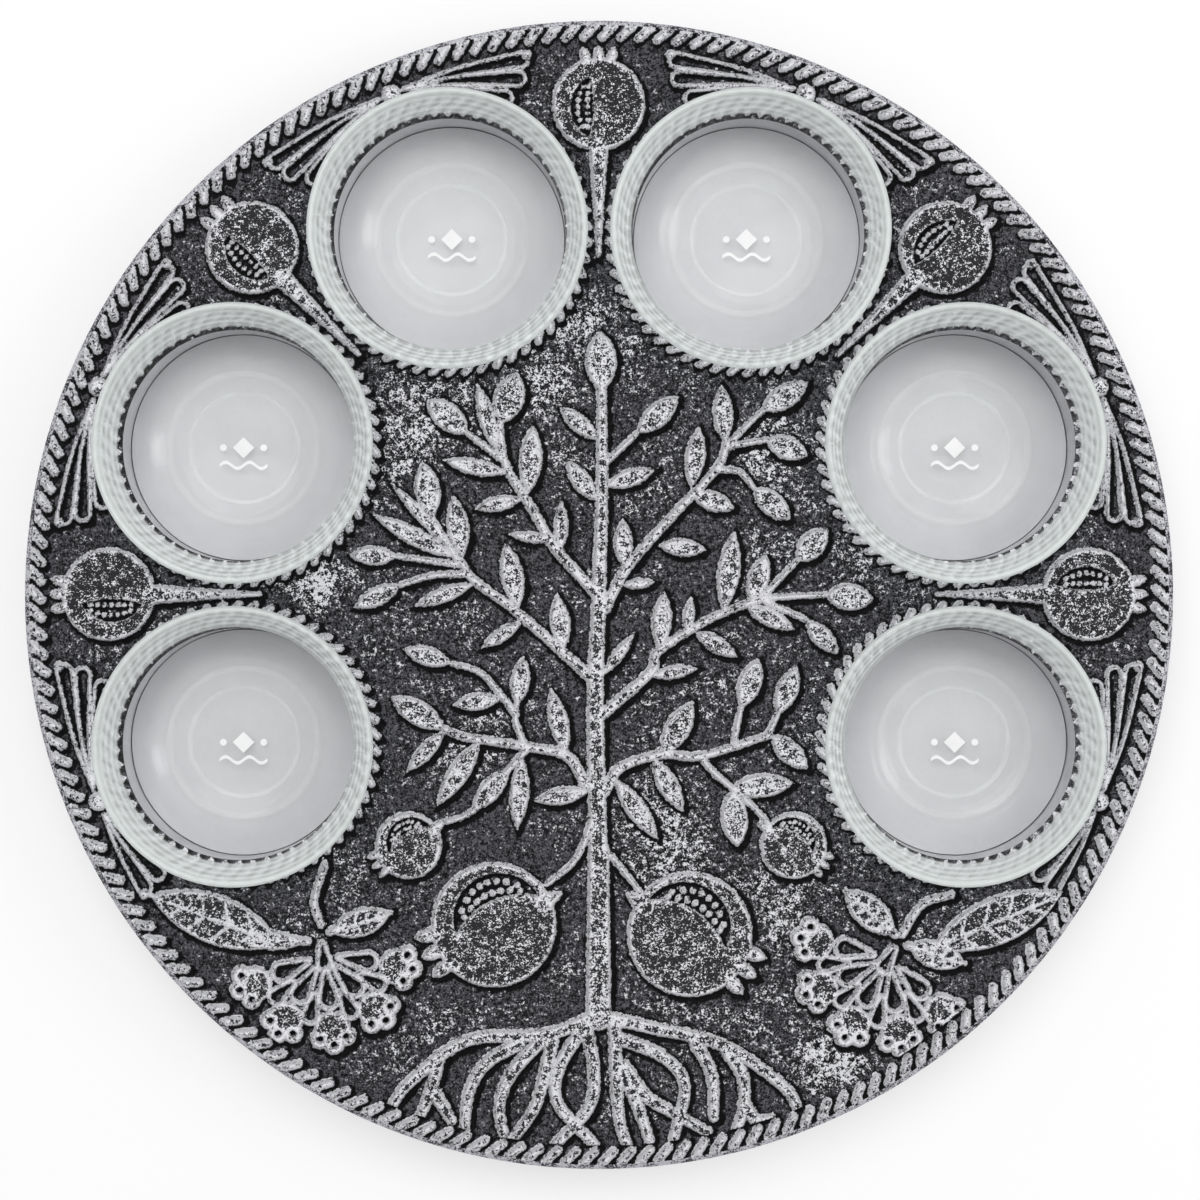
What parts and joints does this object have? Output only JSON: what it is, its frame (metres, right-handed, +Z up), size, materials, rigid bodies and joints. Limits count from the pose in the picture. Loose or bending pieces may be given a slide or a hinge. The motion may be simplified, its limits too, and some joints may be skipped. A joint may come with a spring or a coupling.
{
  "type": "seder plate",
  "caption": "Round seder plate of blackened embossed metal over a board, with a tree and pomegranates in relief and clear glass bowls that lift out of round wells.",
  "frame": {"origin": "on the table under the middle of the plate", "axes": "+Z up out of the plate's face, +Y towards the top of the tree picture, +X to its right"},
  "size_m": [0.36, 0.36, 0.0368],
  "materials": {
    "embossed_metal": "blackened in the hollows and rubbed bright on the raised relief",
    "board": "raw fibreboard",
    "panel": "black backing board",
    "well_floor": "smooth satin silver-grey",
    "clear_glass": "clear pressed glass with a faint grey-green tint at the rim",
    "rubber": "matt black"
  },
  "bodies": {
    "plate": {"embossed_sheet": "embossed_metal", "base_board": "board", "back_panel": "panel", "well_liner_top_left": "well_floor", "well_liner_top_right": "well_floor", "well_liner_upper_right": "well_floor", "well_liner_lower_right": "well_floor", "well_liner_lower_left": "well_floor", "well_liner_upper_left": "well_floor", "foot_1": "rubber", "foot_2": "rubber", "foot_3": "rubber", "foot_4": "rubber", "foot_5": "rubber", "foot_6": "rubber"},
    "bowl_top_left": {"bowl_top_left": "clear_glass"},
    "bowl_top_right": {"bowl_top_right": "clear_glass"},
    "bowl_upper_right": {"bowl_upper_right": "clear_glass"},
    "bowl_lower_right": {"bowl_lower_right": "clear_glass"},
    "bowl_lower_left": {"bowl_lower_left": "clear_glass"},
    "bowl_upper_left": {"bowl_upper_left": "clear_glass"}
  },
  "joints": [
    {"name": "bowl_top_left_lift", "type": "slide", "parent": "plate", "child": "bowl_top_left", "axis": [0, 0, 1], "range_m": [0, 0.06]},
    {"name": "bowl_top_right_lift", "type": "slide", "parent": "plate", "child": "bowl_top_right", "axis": [0, 0, 1], "range_m": [0, 0.06]},
    {"name": "bowl_upper_right_lift", "type": "slide", "parent": "plate", "child": "bowl_upper_right", "axis": [0, 0, 1], "range_m": [0, 0.06]},
    {"name": "bowl_lower_right_lift", "type": "slide", "parent": "plate", "child": "bowl_lower_right", "axis": [0, 0, 1], "range_m": [0, 0.06]},
    {"name": "bowl_lower_left_lift", "type": "slide", "parent": "plate", "child": "bowl_lower_left", "axis": [0, 0, 1], "range_m": [0, 0.06]},
    {"name": "bowl_upper_left_lift", "type": "slide", "parent": "plate", "child": "bowl_upper_left", "axis": [0, 0, 1], "range_m": [0, 0.06]}
  ]
}
